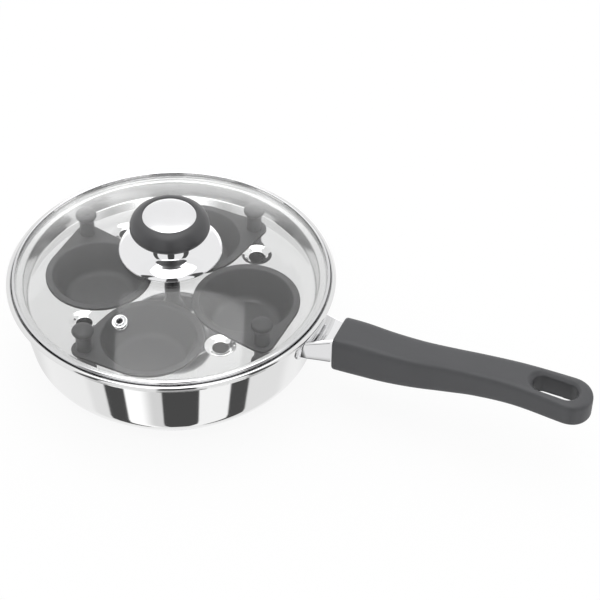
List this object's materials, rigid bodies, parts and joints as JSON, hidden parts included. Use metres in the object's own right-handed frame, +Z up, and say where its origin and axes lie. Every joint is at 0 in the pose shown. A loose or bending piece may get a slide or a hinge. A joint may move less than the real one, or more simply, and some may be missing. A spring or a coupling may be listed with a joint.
{
  "type": "egg poacher pan",
  "caption": "Shallow steel pan with a domed glass lid, a side handle and a lift-out rack of non-stick cups that hold eggs over boiling water.",
  "frame": {"origin": "on the pan's axis, at the flat face it stands on", "axes": "+X from the axis along the handle, +Z up out of the pan"},
  "size_m": [0.3859, 0.211, 0.1102],
  "materials": {
    "pan_steel": "polished stainless steel",
    "base_steel": "satin stainless steel",
    "core_aluminium": "plain",
    "bracket_steel": "polished stainless steel",
    "guard_steel": "polished stainless steel",
    "handle_phenolic": "dark grey, fine matt texture",
    "rack_steel": "satin stainless steel",
    "cup_non_stick": "dark grey non-stick coating, satin",
    "cup_knob_phenolic": "dark, fine matt texture",
    "lid_glass": "clear tempered glass",
    "band_steel": "polished stainless steel",
    "vent_steel": "polished",
    "bell_chrome": "mirror polish",
    "knob_phenolic": "black, fine matt texture",
    "insert_steel": "satin",
    "bush_brass": "turned",
    "fastener_steel": "plain",
    "gasket_silicone": "milky silicone"
  },
  "bodies": {
    "pan": {"pan_body": "pan_steel", "base_core": "core_aluminium", "base_cap": "base_steel", "handle_bracket": "bracket_steel", "flame_guard": "guard_steel", "handle_grip": "handle_phenolic", "handle_bolt": "fastener_steel", "bolt_washer": "fastener_steel"},
    "rack": {"egg_rack": "rack_steel", "rack_knob": "cup_knob_phenolic", "rack_screw": "fastener_steel"},
    "cup_1": {"egg_cup_1": "cup_non_stick", "cup_knob_1": "cup_knob_phenolic", "cup_screw_1": "fastener_steel"},
    "cup_2": {"egg_cup_2": "cup_non_stick", "cup_knob_2": "cup_knob_phenolic", "cup_screw_2": "fastener_steel"},
    "cup_3": {"egg_cup_3": "cup_non_stick", "cup_knob_3": "cup_knob_phenolic", "cup_screw_3": "fastener_steel"},
    "cup_4": {"egg_cup_4": "cup_non_stick", "cup_knob_4": "cup_knob_phenolic", "cup_screw_4": "fastener_steel"},
    "lid": {"lid_glass": "lid_glass", "lid_band": "band_steel", "steam_vent": "vent_steel", "knob_bell": "bell_chrome", "knob_grip": "knob_phenolic", "knob_insert": "insert_steel", "knob_bush": "bush_brass", "lid_screw": "fastener_steel", "lid_washer": "fastener_steel", "lid_gasket": "gasket_silicone"}
  },
  "joints": [
    {"name": "rack_lift", "type": "slide", "parent": "pan", "child": "rack", "axis": [0, 0, 1], "range_m": [0, 0.06]},
    {"name": "lid_lift", "type": "slide", "parent": "pan", "child": "lid", "axis": [0, 0, 1], "range_m": [0, 0.12]},
    {"name": "cup_lift_1", "type": "slide", "parent": "rack", "child": "cup_1", "axis": [0, 0, 1], "range_m": [0, 0.03]},
    {"name": "cup_lift_2", "type": "slide", "parent": "rack", "child": "cup_2", "axis": [0, 0, 1], "range_m": [0, 0.03]},
    {"name": "cup_lift_3", "type": "slide", "parent": "rack", "child": "cup_3", "axis": [0, 0, 1], "range_m": [0, 0.03]},
    {"name": "cup_lift_4", "type": "slide", "parent": "rack", "child": "cup_4", "axis": [0, 0, 1], "range_m": [0, 0.03]}
  ],
  "couplings": [
    {"joint": "rack_lift", "follows": "lid_lift", "ratio": 0.5},
    {"joint": "cup_lift_1", "follows": "lid_lift", "ratio": 0.25},
    {"joint": "cup_lift_2", "follows": "lid_lift", "ratio": 0.25},
    {"joint": "cup_lift_3", "follows": "lid_lift", "ratio": 0.25},
    {"joint": "cup_lift_4", "follows": "lid_lift", "ratio": 0.25}
  ]
}
